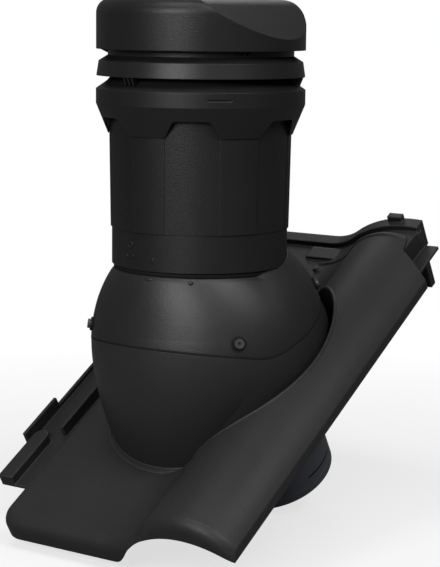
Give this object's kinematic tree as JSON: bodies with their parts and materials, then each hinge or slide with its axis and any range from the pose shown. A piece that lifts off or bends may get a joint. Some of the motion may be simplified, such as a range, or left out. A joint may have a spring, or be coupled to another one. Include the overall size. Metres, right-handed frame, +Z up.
{
  "type": "roof tile vent",
  "caption": "Plastic roof tile with a domed foot, a screwed hood and an upright insulated vent pipe with a louvred rain cap.",
  "frame": {"origin": "middle of the seat ribs' lower face, which rests on the roof batten", "axes": "+Z up, +Y up the roof slope in plan, +X across the roof; the tile lies at the roof's pitch of 30 degrees and the pipe stands upright"},
  "size_m": [0.318, 0.4198, 0.4841],
  "materials": {
    "tile_plastic": "fine matt moulding",
    "hood_plastic": "satin moulding",
    "pipe_plastic": "fine matt moulding",
    "duct_plastic": "smooth, slightly blue grey",
    "seal_rubber": "matt",
    "screw_metal": "black coated",
    "insulation_foam": "pale grey foam"
  },
  "bodies": {
    "root": {"base_tile": "tile_plastic", "cap": "pipe_plastic", "centring_ring": "pipe_plastic", "collar": "pipe_plastic", "duct_seal": "seal_rubber", "duct_spigot": "duct_plastic", "hood": "hood_plastic", "hood_screws": "screw_metal", "hood_washers": "seal_rubber", "inner_duct": "duct_plastic", "insulation": "insulation_foam", "louvre_ring": "pipe_plastic", "neck_seal": "seal_rubber", "outer_pipe": "pipe_plastic", "pipe_sleeve": "pipe_plastic", "spigot_ring": "duct_plastic"}
  },
  "joints": []
}
